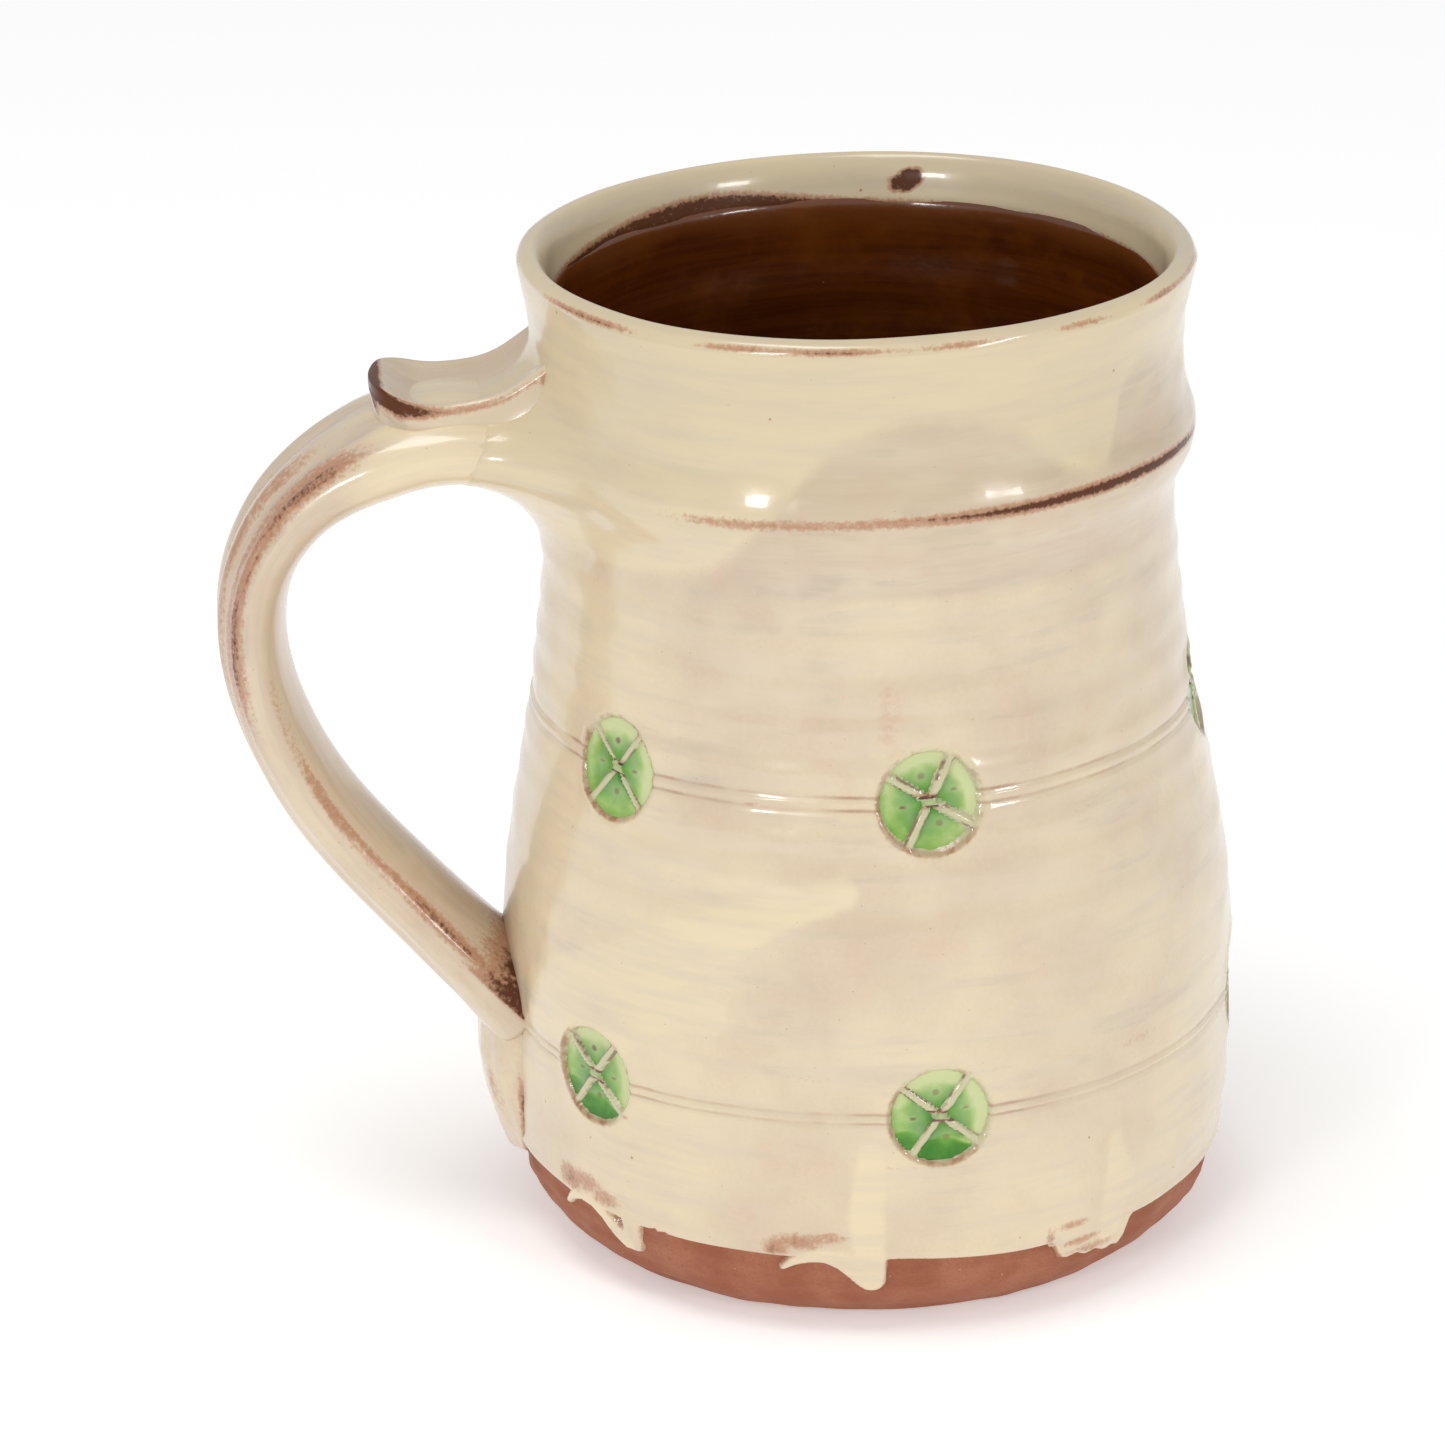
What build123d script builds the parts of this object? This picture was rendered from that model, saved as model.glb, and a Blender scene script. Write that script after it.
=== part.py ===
from build123d import *
from math import cos, radians, sin
import os

# Hand-thrown pottery mug: red clay body, cream slip coat, green stamped roundels, strap handle.
# Millimetres, +Z up. The origin is on the mug's axis, on the surface that it stands on.
# The handle points along -X. An azimuth is in degrees: 0 faces -Y, and 90 faces +X.

# ---------------------------------------------------------------- driving dimensions
mug_height = 130.0
foot_radius = 36.5              # flat face that the mug stands on
slip_line_height = 10.0         # the coat ends here and leaves the foot bare
skin_thickness = 0.5            # of the slip coat, and of the glaze lining
coat_lip_depth = 7.5            # how far the coat runs down inside the rim
piece_gap = 0.06                # between one piece and the next, all round
floor_thickness = 6.0
rim_inner_radius = 40.4

line_heights = {"lower": 30.7, "upper": 70.8}   # centre of each pair of incised lines
line_gap = 1.7                  # between the two lines of a pair
line_width = 0.6
line_depth = 0.25

column_azimuths = (-52.5, 5.0, 80.0, 156.0, 232.5)
stamp_turns = (-8.0, 4.0, -3.0, 3.0, -5.0)      # how far each column's stamp was twisted
stamp_radius = 6.2
stamp_rib_width = 1.0
stamp_rib_angles = (60.0, -30.0)
stamp_depth = 1.0               # from the coat's surface to the pocket's floor
glaze_sink = 0.4                # from the coat's surface down to the green glaze
stamp_start_radius = 34.0       # where the stamp's prism starts, inside the wall
stamp_reach = 20.0

strap_path = (                  # distance from the mug's axis, height
    (35.0, 105.2), (43.0, 106.2), (52.0, 107.2), (61.6, 105.2), (70.8, 99.6), (76.6, 90.5),
    (77.7, 80.0), (75.0, 68.8), (69.4, 57.8), (61.6, 47.8), (53.4, 38.6), (45.0, 30.6),
)
strap_sections = (              # fraction of the path, width, thickness
    (0.0, 33.0, 17.0), (0.065, 28.5, 12.0), (0.13, 24.0, 9.6), (0.25, 22.5, 8.6), (0.40, 22.0, 8.4),
    (0.55, 21.0, 8.6), (0.70, 20.0, 9.0), (0.85, 20.0, 9.4), (0.93, 21.5, 10.0), (1.0, 24.0, 11.5),
)

rest_half_width = 9.3
rest_tip_reach = 61.8           # distance of its tip from the mug's axis
rest_round_reach = 52.0         # its sides start to round in here
rest_root_reach = 38.0          # inside the neck, so that it ends on the wall
rest_top = ((rest_root_reach, 119.0), (45.0, 116.2), (53.0, 114.4), (rest_tip_reach, 114.0))
rest_underside = ((rest_tip_reach, 111.2), (57.0, 108.6), (50.0, 107.6))
rest_dish_radius = 30.0         # hollow for the thumb
rest_dish_centre = (53.0, 142.7)

tail_half_width = 11.5
tail_top_height = 34.0
tail_taper_height = 24.0        # its sides start to draw in here
tail_tip_height = 7.6
tail_root_radius = 30.0         # inside the wall, so that it ends on the wall
tail_low_height = tail_tip_height - 1.0
tail_face = ((50.9, tail_top_height), (51.3, 26.0), (50.3, 18.0), (48.6, 12.0), (46.9, tail_low_height))
tail_shoulder = (8.5, 12.5)     # half width and height, part of the way round to the tip
tail_cut_depth = 60.0

os.makedirs("parts", exist_ok=True)


def save(part, label):
    """Label one piece and write it to its own file."""
    part.label = label
    export_step(part, f"parts/{label}.step")


# ---------------------------------------------------------------- half sections of the thrown form
def shifted(points, outwards, upwards=0.0):
    """Points of a half section, moved away from the axis and up."""
    return [(radius + outwards, height + upwards) for radius, height in points]


def form_sketch(inset=0.0):
    """The outside of the mug from its axis outwards, with no hollow, drawn in by an inset."""
    foot = shifted([(foot_radius, 0.0), (41.4, 2.4), (44.4, 5.9), (45.5, slip_line_height)], -inset)
    wall = shifted(
        [
            (46.0, slip_line_height + 0.2), (46.9, 17.0), (47.35, 26.0), (47.05, 41.0), (45.4, 55.0),
            (42.9, 68.0), (41.0, 80.0), (39.95, 91.0), (39.9, 98.8),
        ],
        -inset,
    )
    ridge = shifted([(39.9, 98.8), (41.9, 103.6), (42.35, 106.6)], -inset)
    neck = shifted([(42.35, 106.6), (40.75, 116.5), (42.4, 128.3)], -inset)
    land = shifted([(41.9, 129.4), (rim_inner_radius, mug_height)], -inset, -inset)
    with BuildSketch() as form:
        with BuildLine():
            Line((0, 0), foot[0])
            Spline(*foot, tangents=[(1, 0.12), (0.08, 1)])
            Line(foot[-1], wall[0])
            Spline(*wall, tangents=[(0.3, 1), (0.05, 1)])
            Spline(*ridge, tangents=[(0.25, 1), (-0.1, 1)])
            Spline(*neck, tangents=[(-0.5, 1), (0.1, 1)])
            Polyline(neck[-1], land[0], land[1], (0, mug_height - inset), (0, 0))
        make_face()
    return form.sketch


def hollow_sketch(growth=0.0):
    """The hollow of the mug, from its floor to above the rim, grown into the wall."""
    above = mug_height + 1.0
    floor_height = floor_thickness - growth
    corner = shifted([(34.5, 8.6), (41.2, 16.5)], 0.7 * growth, -0.7 * growth)
    wall = shifted(
        [
            (43.0, 28.0), (42.9, 42.0), (41.3, 56.0), (38.6, 70.0), (36.6, 85.0), (36.2, 98.0),
            (37.2, 110.0), (37.7, 119.0), (38.5, 127.0),
        ],
        growth,
    )
    bevel = shifted([(38.5, 127.0), (rim_inner_radius, mug_height)], growth)
    with BuildSketch() as hollow:
        with BuildLine():
            Line((0, floor_height), (20.0, floor_height))
            Spline((20.0, floor_height), *corner, *wall, tangents=[(1, 0), (0.15, 1)])
            Spline(*bevel, tangents=[(0.1, 1), (0.8, 0.5)])
            Polyline(bevel[-1], (bevel[-1][0], above), (0, above), (0, floor_height))
        make_face()
    return hollow.sketch


def band_sketch(low, high):
    """Everything from the axis outwards, between two heights."""
    reach = 60.0
    with BuildSketch() as band:
        with Locations((0, low)):
            Rectangle(reach, high - low, align=(Align.MIN, Align.MIN))
    return band.sketch


def groove_sketch():
    """The two pairs of lines that are incised in the coat."""
    with BuildSketch() as grooves:
        for height in line_heights.values():
            for centre in (height - 0.5 * line_gap, height + 0.5 * line_gap):
                add(band_sketch(centre - 0.5 * line_width, centre + 0.5 * line_width))
        add(form_sketch(line_depth), mode=Mode.SUBTRACT)
    return grooves.sketch


def core_sketch(skin):
    """The wall and floor that are left under a skin, outside and in."""
    with BuildSketch() as core:
        add(form_sketch(skin))
        add(hollow_sketch(skin), mode=Mode.SUBTRACT)
    return core.sketch


def coat_sketch():
    """The slip coat: outside wall, rim and the lip that turns down inside."""
    lip_height = mug_height - coat_lip_depth
    with BuildSketch() as below_lip:
        add(hollow_sketch(skin_thickness + 1.0))
        add(band_sketch(0, lip_height), mode=Mode.INTERSECT)
    with BuildSketch() as coat:
        add(form_sketch())
        add(hollow_sketch(), mode=Mode.SUBTRACT)
        add(core_sketch(skin_thickness), mode=Mode.SUBTRACT)
        add(below_lip.sketch, mode=Mode.SUBTRACT)
        add(band_sketch(slip_line_height, mug_height), mode=Mode.INTERSECT)
        add(groove_sketch(), mode=Mode.SUBTRACT)
    return coat.sketch


def lining_sketch():
    """The brown glaze lining, from the floor up to the coat's lip."""
    with BuildSketch() as lining:
        add(hollow_sketch(skin_thickness))
        add(band_sketch(0, mug_height - coat_lip_depth - piece_gap), mode=Mode.INTERSECT)
        add(hollow_sketch(), mode=Mode.SUBTRACT)
    return lining.sketch


def clay_sketch():
    """The clay wall and floor under both skins, with the bare foot at its full size."""
    with BuildSketch() as foot:
        add(form_sketch())
        add(band_sketch(0, slip_line_height - piece_gap), mode=Mode.INTERSECT)
        add(hollow_sketch(skin_thickness + piece_gap), mode=Mode.SUBTRACT)
    with BuildSketch() as clay:
        add(core_sketch(skin_thickness + piece_gap))
        add(foot.sketch)
    return clay.sketch


def form_volume(inset=0.0):
    """The outside of the mug as a solid with no hollow, drawn in by an inset."""
    with BuildPart() as volume:
        with BuildSketch(Plane.XZ):
            add(form_sketch(inset))
        revolve(axis=Axis.Z)
    return volume.part


# ---------------------------------------------------------------- stamped pockets
def stamp_lobes(azimuth, height, turn, growth=0.0):
    """Four wedges of a disc, parted by two crossing ribs, pushed out through the wall."""
    a = radians(azimuth)
    outward = Vector(sin(a), -cos(a), 0)
    face = Plane(
        origin=outward * stamp_start_radius + Vector(0, 0, height),
        x_dir=Vector(cos(a), sin(a), 0),
        z_dir=outward,
    )
    rib_width = stamp_rib_width - 2 * growth
    with BuildPart() as lobes:
        with BuildSketch(face):
            Circle(stamp_radius + growth)
            for angle in stamp_rib_angles:
                Rectangle(3 * stamp_radius, rib_width, rotation=angle + turn, mode=Mode.SUBTRACT)
        extrude(amount=stamp_reach)
    return lobes.part


def stamp_places():
    """Name, azimuth, height and twist of every stamp."""
    for row, line_height in line_heights.items():
        for number, (azimuth, turn) in enumerate(zip(column_azimuths, stamp_turns), start=1):
            yield f"{row}_{number}", azimuth, line_height, turn


glaze_top = form_volume(glaze_sink)
glaze_bottom = form_volume(stamp_depth)
pocket_floor = form_volume(stamp_depth + piece_gap)

# ---------------------------------------------------------------- green glaze in the pockets
for name, azimuth, line_height, turn in stamp_places():
    with BuildPart() as roundel:
        add(stamp_lobes(azimuth, line_height, turn))
        add(glaze_top, mode=Mode.INTERSECT)
        add(glaze_bottom, mode=Mode.SUBTRACT)
    save(roundel.part, f"roundel_{name}")

# ---------------------------------------------------------------- pockets that the stamps leave
with BuildPart() as pockets:
    for name, azimuth, line_height, turn in stamp_places():
        add(stamp_lobes(azimuth, line_height, turn, growth=piece_gap))
    add(pocket_floor, mode=Mode.SUBTRACT)

# ---------------------------------------------------------------- slip coat over the outside
with BuildPart() as outer_slip_coat:
    with BuildSketch(Plane.XZ):
        add(coat_sketch())
    revolve(axis=Axis.Z)
    add(pockets.part, mode=Mode.SUBTRACT)
save(outer_slip_coat.part, "outer_slip_coat")

# ---------------------------------------------------------------- brown glaze lining inside
with BuildPart() as inner_glaze_lining:
    with BuildSketch(Plane.XZ):
        add(lining_sketch())
    revolve(axis=Axis.Z)
save(inner_glaze_lining.part, "inner_glaze_lining")

# ---------------------------------------------------------------- clay body: wall and floor
with BuildPart() as clay_body:
    with BuildSketch(Plane.XZ):
        add(clay_sketch())
    revolve(axis=Axis.Z)
    add(pockets.part, mode=Mode.SUBTRACT)
save(clay_body.part, "clay_body")

# ---------------------------------------------------------------- pulled strap handle
with BuildLine(Plane.XZ) as strap_line:
    Spline(*[(-reach, height) for reach, height in strap_path])

strap_curve = strap_line.edges()[0]


def strap_volume(growth=0.0):
    """The strap along its whole path, through the mug's wall at both ends."""
    with BuildPart() as strap:
        for fraction, width, thickness in strap_sections:
            across = Plane(origin=strap_curve @ fraction, x_dir=(0, 1, 0), z_dir=strap_curve % fraction)
            with BuildSketch(across):
                Ellipse(0.5 * width + growth, 0.5 * thickness + growth)
        loft()
    return strap.part


mug_volume = form_volume(-piece_gap)
strap_clearance = strap_volume(piece_gap)

with BuildPart() as handle_strap:
    add(strap_volume())
    add(mug_volume, mode=Mode.SUBTRACT)
save(handle_strap.part, "handle_strap")

# ---------------------------------------------------------------- thumb rest on top of the strap
with BuildPart() as thumb_rest:
    with BuildSketch(Plane.XZ):
        with BuildLine():
            top = [(-reach, height) for reach, height in rest_top]
            underside = [(-reach, height) for reach, height in rest_underside]
            Spline(*top)
            Line(top[-1], underside[0])
            Spline(*underside)
            Polyline(underside[-1], (top[0][0], underside[-1][1]), top[0])
        make_face()
    extrude(amount=rest_half_width, both=True)
    with BuildSketch():
        with BuildLine():
            near, far = (-rest_round_reach, -rest_half_width), (-rest_round_reach, rest_half_width)
            ThreePointArc(far, (-rest_tip_reach, 0), near)
            Polyline(near, (0, -rest_half_width), (0, rest_half_width), far)
        make_face()
    extrude(amount=mug_height, mode=Mode.INTERSECT)
    with Locations((-rest_dish_centre[0], 0, rest_dish_centre[1])):
        Sphere(rest_dish_radius, mode=Mode.SUBTRACT)
    add(strap_clearance, mode=Mode.SUBTRACT)
    add(mug_volume, mode=Mode.SUBTRACT)
save(thumb_rest.part, "thumb_rest")

# ---------------------------------------------------------------- pressed tail below the strap
with BuildPart() as handle_tail:
    with BuildSketch(Plane.XZ):
        with BuildLine():
            Spline(*tail_face)
            Polyline(
                tail_face[-1],
                (tail_root_radius, tail_low_height),
                (tail_root_radius, tail_top_height),
                tail_face[0],
            )
        make_face()
    revolve(axis=Axis.Z)
    with BuildSketch(Plane.YZ):
        with BuildLine():
            half, (shoulder, shoulder_height) = tail_half_width, tail_shoulder
            Spline(
                (-half, tail_taper_height), (-shoulder, shoulder_height), (0, tail_tip_height),
                (shoulder, shoulder_height), (half, tail_taper_height),
                tangents=[(0, -1), (0, 1)],
            )
            Polyline(
                (half, tail_taper_height), (half, tail_top_height),
                (-half, tail_top_height), (-half, tail_taper_height),
            )
        make_face()
    extrude(amount=-tail_cut_depth, mode=Mode.INTERSECT)
    add(strap_clearance, mode=Mode.SUBTRACT)
    add(mug_volume, mode=Mode.SUBTRACT)
save(handle_tail.part, "handle_tail")
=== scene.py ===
"""Visual model of the pottery mug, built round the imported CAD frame.

Sizes below are millimetres until mesh_object() writes a mesh in metres. An azimuth is in degrees:
0 faces -Y, 90 faces +X, and the handle points along -X, at -90.
"""

from math import cos, pi, radians, sin

import bpy
import numpy as np
from mathutils import Matrix, Vector


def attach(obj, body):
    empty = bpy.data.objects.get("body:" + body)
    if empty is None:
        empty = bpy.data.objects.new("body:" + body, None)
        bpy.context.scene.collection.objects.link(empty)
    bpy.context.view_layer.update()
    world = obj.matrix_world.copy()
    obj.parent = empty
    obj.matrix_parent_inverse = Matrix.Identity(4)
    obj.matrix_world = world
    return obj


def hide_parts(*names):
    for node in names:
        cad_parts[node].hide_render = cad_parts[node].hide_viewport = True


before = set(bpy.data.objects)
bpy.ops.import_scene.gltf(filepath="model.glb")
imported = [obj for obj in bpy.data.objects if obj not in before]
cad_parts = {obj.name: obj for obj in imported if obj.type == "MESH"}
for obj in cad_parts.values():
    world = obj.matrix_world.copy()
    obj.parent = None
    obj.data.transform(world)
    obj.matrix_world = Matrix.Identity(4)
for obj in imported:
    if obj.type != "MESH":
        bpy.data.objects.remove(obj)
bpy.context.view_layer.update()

MM = 0.001
BODY = "root"

# ---- driving sizes, in millimetres
FOOT_RADIUS = 36.5
BELLY_RADIUS = 46.0             # for distances along the wall near the foot
FLOOR_HEIGHT = 6.0
LIP_HEIGHT = 122.6              # the slip coat ends here inside the rim
WALL = (  # radius, height of the outer wall up to the rim
    (43.5, 4.0), (44.8, 6.0), (45.5, 8.0), (45.95, 10.2), (46.4, 13.0), (46.9, 17.0), (47.25, 23.0),
    (47.3, 30.0), (47.1, 41.0), (45.4, 55.0), (42.9, 68.0), (41.05, 80.0), (40.1, 89.0), (39.75, 95.0),
    (39.85, 98.6), (40.5, 101.0), (41.75, 103.6), (42.3, 105.6), (42.35, 107.4), (41.75, 109.6),
    (41.1, 112.2), (40.75, 116.5), (41.05, 121.5), (41.9, 125.5), (42.35, 128.2),
)
RIM = (  # over the rim and down inside, to the end of the slip coat
    (42.35, 128.7), (42.15, 129.2), (41.8, 129.5), (41.2, 129.75), (40.6, 129.9), (40.2, 129.75),
    (39.7, 129.2), (39.2, 128.3), (38.8, 127.2), (38.5, 125.8), (38.2, 124.3), (38.2, 123.4),
    (38.7, LIP_HEIGHT),
)
HOLLOW = (  # inside wall, from the lip down to the floor's edge
    (38.15, 123.5), (37.95, 122.8), (37.85, 121.0), (37.5, 115.0), (37.0, 108.0), (36.3, 98.0),
    (36.7, 85.0), (38.6, 70.0), (41.3, 56.0), (42.8, 42.0), (42.9, 28.0), (41.2, 17.0), (36.5, 10.0),
    (28.0, 7.0), (16.0, 6.3),
)
FOOT = (  # radius, height of the bare foot's side, from its flat face up
    (FOOT_RADIUS, 0.0), (39.0, 0.45), (41.2, 1.9), (43.2, 4.0), (44.7, 6.6), (45.45, 9.5), (45.9, 13.0),
    (46.6, 18.0),
)

LINE_HEIGHTS = (30.7, 70.8)
LINE_HALF_GAPS = (0.62, 0.82)   # half the space between the two lines of each pair
COLUMNS = (  # azimuth, then the twist of its lower and upper stamps
    (-52.5, -7.0, -8.0), (5.0, -4.5, 3.0), (80.0, -3.0, 2.0), (156.0, 3.0, -4.0), (-127.5, -5.0, 4.0),
)
STAMP_RADIUS = 6.2
STAMP_RIB = 1.0
STAMP_RIB_ANGLES = (59.0, -35.0)
STAMP_DEPTH = 0.95
POOL_SINK = 0.5                 # from the coat's surface down to the green glaze

STRAP_PATH = (  # distance from the mug's axis, height
    (36.5, 105.6), (43.0, 106.3), (52.0, 107.2), (61.6, 105.2), (70.8, 99.6), (76.6, 90.5),
    (77.7, 80.0), (75.0, 68.8), (69.4, 57.8), (61.6, 47.8), (53.4, 38.6), (45.0, 30.0),
)
STRAP_POWER = 2.25              # squareness of the strap's section
ROOT_AZIMUTH = -90.0
ROOT_RADIUS = 41.8              # where the strap's upper end meets the neck
ROOT_HEIGHT = 106.30
ROOT_CLIMB = 0.085              # rise of the strap for each millimetre out from the neck
ROOT_INSET = 0.10               # the smoothed clay runs into the strap by this much
STRAP_GROOVES = (  # place across the outer face from -1 to 1, depth, half width
    (-0.80, 0.35, 0.07), (-0.46, 0.95, 0.13), (0.06, 0.80, 0.17), (0.58, 0.85, 0.13),
)
STRAP_SECTIONS = (  # fraction of the path, width, thickness
    (0.0, 25.5, 11.0), (0.21, 25.5, 11.0), (0.29, 23.4, 9.5),
    (0.37, 22.2, 8.6), (0.46, 21.6, 8.5), (0.55, 21.0, 8.6), (0.70, 20.0, 9.0), (0.85, 20.0, 9.4),
    (0.93, 21.5, 10.0), (1.0, 24.0, 12.0),
)
PAD_ROOT_REACH, PAD_TIP_REACH = 38.5, 61.5      # distance of the thumb pad's ends from the mug's axis
PAD_EDGE = (  # fraction of its length, height of its rim
    (0.0, 119.2), (0.14, 117.0), (0.30, 114.9), (0.50, 113.9), (0.72, 113.9), (0.90, 114.7), (1.0, 114.6),
)
TAIL_TOP, TAIL_TIP = 32.5, 7.7  # heights of the pressed tail's ends


# ---- curves and smooth noise
def cubic_through(points, samples):
    """Natural cubic spline through the rows of points, at samples from 0 to 1 of its chord length."""
    points = np.asarray(points, dtype=float)
    chord = np.concatenate([[0.0], np.cumsum(np.linalg.norm(np.diff(points, axis=0), axis=1))])
    return cubic_values(chord / chord[-1], points, samples)


def cubic_values(knots, values, samples):
    """Natural cubic spline of values at knots, evaluated at samples."""
    knots = np.asarray(knots, dtype=float)
    values = np.asarray(values, dtype=float)
    count, step = len(knots), np.diff(knots)
    system, right = np.eye(count), np.zeros_like(values)
    slope = (np.diff(values, axis=0).T / step).T
    for i in range(1, count - 1):
        system[i, i - 1:i + 2] = step[i - 1], 2 * (step[i - 1] + step[i]), step[i]
        right[i] = 6 * (slope[i] - slope[i - 1])
    bend = np.linalg.solve(system, right)
    samples = np.atleast_1d(samples)
    i = np.clip(np.searchsorted(knots, samples) - 1, 0, count - 2)
    h, a, b = step[i], knots[i + 1] - samples, samples - knots[i]
    if values.ndim > 1:
        h, a, b = h[:, None], a[:, None], b[:, None]
    return (
        bend[i] * a**3 / (6 * h) + bend[i + 1] * b**3 / (6 * h)
        + (values[i] / h - bend[i] * h / 6) * a + (values[i + 1] / h - bend[i + 1] * h / 6) * b
    )


EVEN_TURN = np.linspace(-180.0, 180.0, 241)[:-1]
WALL_HEIGHTS = [height for _, height in WALL]
WALL_RADII = [radius for radius, _ in WALL]


def wall_radius(height):
    """Radius of the outer wall at a height below the rim's crest."""
    shape = np.shape(height)
    return cubic_values(WALL_HEIGHTS, WALL_RADII, np.ravel(height)).reshape(shape)


def smoothstep(low, high, value):
    """0 below low, 1 above high and smooth between."""
    t = np.clip((value - low) / (high - low), 0.0, 1.0)
    return t * t * (3 - 2 * t)


def bump(value, centre, width):
    """A smooth bell of height 1."""
    return np.exp(-(((value - centre) / width) ** 2))


def ripple(azimuth, height, scale, seed, waves=9):
    """Smooth noise between about -1 and 1 that closes on itself round the mug."""
    draw = np.random.default_rng(seed)
    total = np.zeros(np.broadcast(azimuth, height).shape)
    for _ in range(waves):
        turns = round(draw.uniform(-1, 1) * 280.0 / scale)
        rise = draw.uniform(-1, 1) * 2 * pi / scale
        total += np.sin(np.radians(azimuth) * turns + height * rise + draw.uniform(0, 2 * pi))
    return total / waves**0.5


def turn_gap(azimuth, centre):
    """Signed angle from a centre azimuth, between -180 and 180."""
    return (azimuth - centre + 180.0) % 360.0 - 180.0


def repeated(azimuth, grid):
    """The row of azimuths, once for each row of a grid."""
    return np.repeat(azimuth[None, :], len(grid), axis=0)


def round_the_mug(radius, azimuth, height):
    """Points from radius, azimuth and height."""
    a = np.radians(azimuth)
    radius, a, height = np.broadcast_arrays(radius, a, height)
    return np.stack([radius * np.sin(a), -radius * np.cos(a), height], axis=-1)


# ---- mesh writing
def add_object(name, data):
    """A new object in the scene."""
    thing = bpy.data.objects.new(name, data)
    bpy.context.scene.collection.objects.link(thing)
    return thing


def grid_object(
    name, points, material, slot, nodes, closed_rows=True, values=None, vectors=None, caps=False,
):
    """A mesh from a grid of points (rows, columns, 3) in millimetres. Columns may close on themselves."""
    rows, columns = points.shape[:2]
    index = np.arange(rows * columns).reshape(rows, columns)
    right = np.roll(index, -1, axis=1) if closed_rows else index[:, 1:]
    left = index if closed_rows else index[:, :-1]
    faces = np.stack([left[:-1], right[:-1], right[1:], left[1:]], axis=-1).reshape(-1, 4).tolist()
    if caps:
        faces += [index[0, ::-1].tolist(), index[-1].tolist()]
    mesh_object(name, points.reshape(-1, 3), faces, material, nodes, values, vectors)


def mesh_object(name, points, faces, material, nodes, values=None, vectors=None):
    """A smooth mesh piece with its attributes, material, body and the CAD nodes it stands for."""
    mesh = bpy.data.meshes.new(name)
    mesh.from_pydata((points * MM).tolist(), [], faces)
    mesh.polygons.foreach_set("use_smooth", [True] * len(mesh.polygons))
    for kind, field, layers in (("FLOAT", "value", values), ("FLOAT_VECTOR", "vector", vectors)):
        for label, data in (layers or {}).items():
            layer = mesh.attributes.new(label, kind, "POINT")
            layer.data.foreach_set(field, np.ravel(data).astype(np.float32))
    mesh.materials.append(material)
    mesh.validate()
    piece = add_object(name, mesh)
    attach(piece, BODY)
    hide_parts(*nodes)
    return piece


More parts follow.
